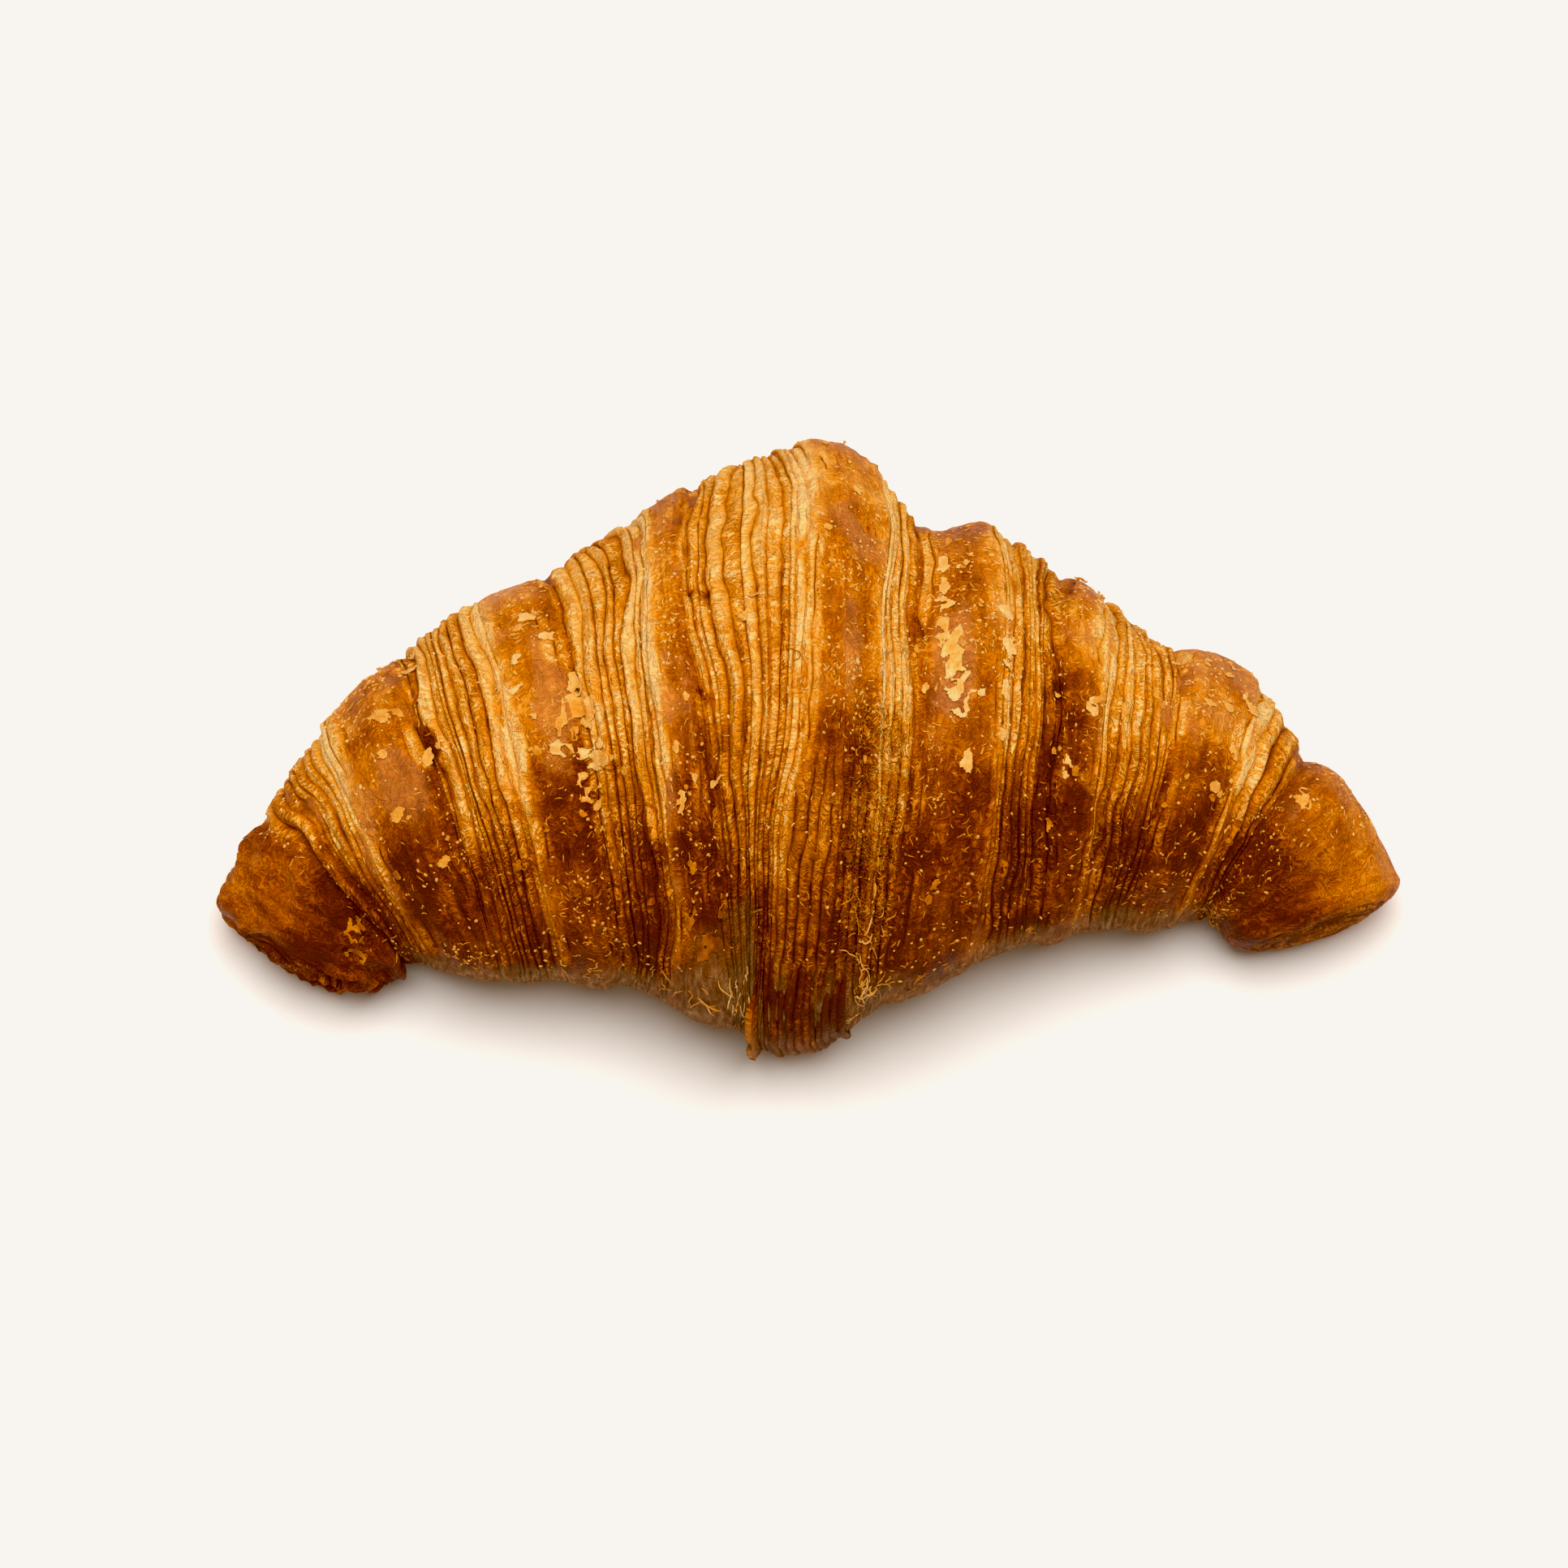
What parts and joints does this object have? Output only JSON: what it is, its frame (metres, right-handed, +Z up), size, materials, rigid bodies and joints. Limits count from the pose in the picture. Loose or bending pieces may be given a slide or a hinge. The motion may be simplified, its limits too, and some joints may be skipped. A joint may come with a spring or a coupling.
{
  "type": "croissant",
  "caption": "Baked butter croissant, rolled in stepped turns with laminated edges, horns curled forward, lying on its flat underside.",
  "frame": {"origin": "middle of the bounding box in plan, on the underside that rests on the table", "axes": "+X toward the right horn, +Y toward the back, away from the curled horns, +Z up from the table"},
  "size_m": [0.1622, 0.0814, 0.0556],
  "materials": {
    "crust": "satin"
  },
  "bodies": {
    "root": {"croissant": "crust"}
  },
  "joints": []
}
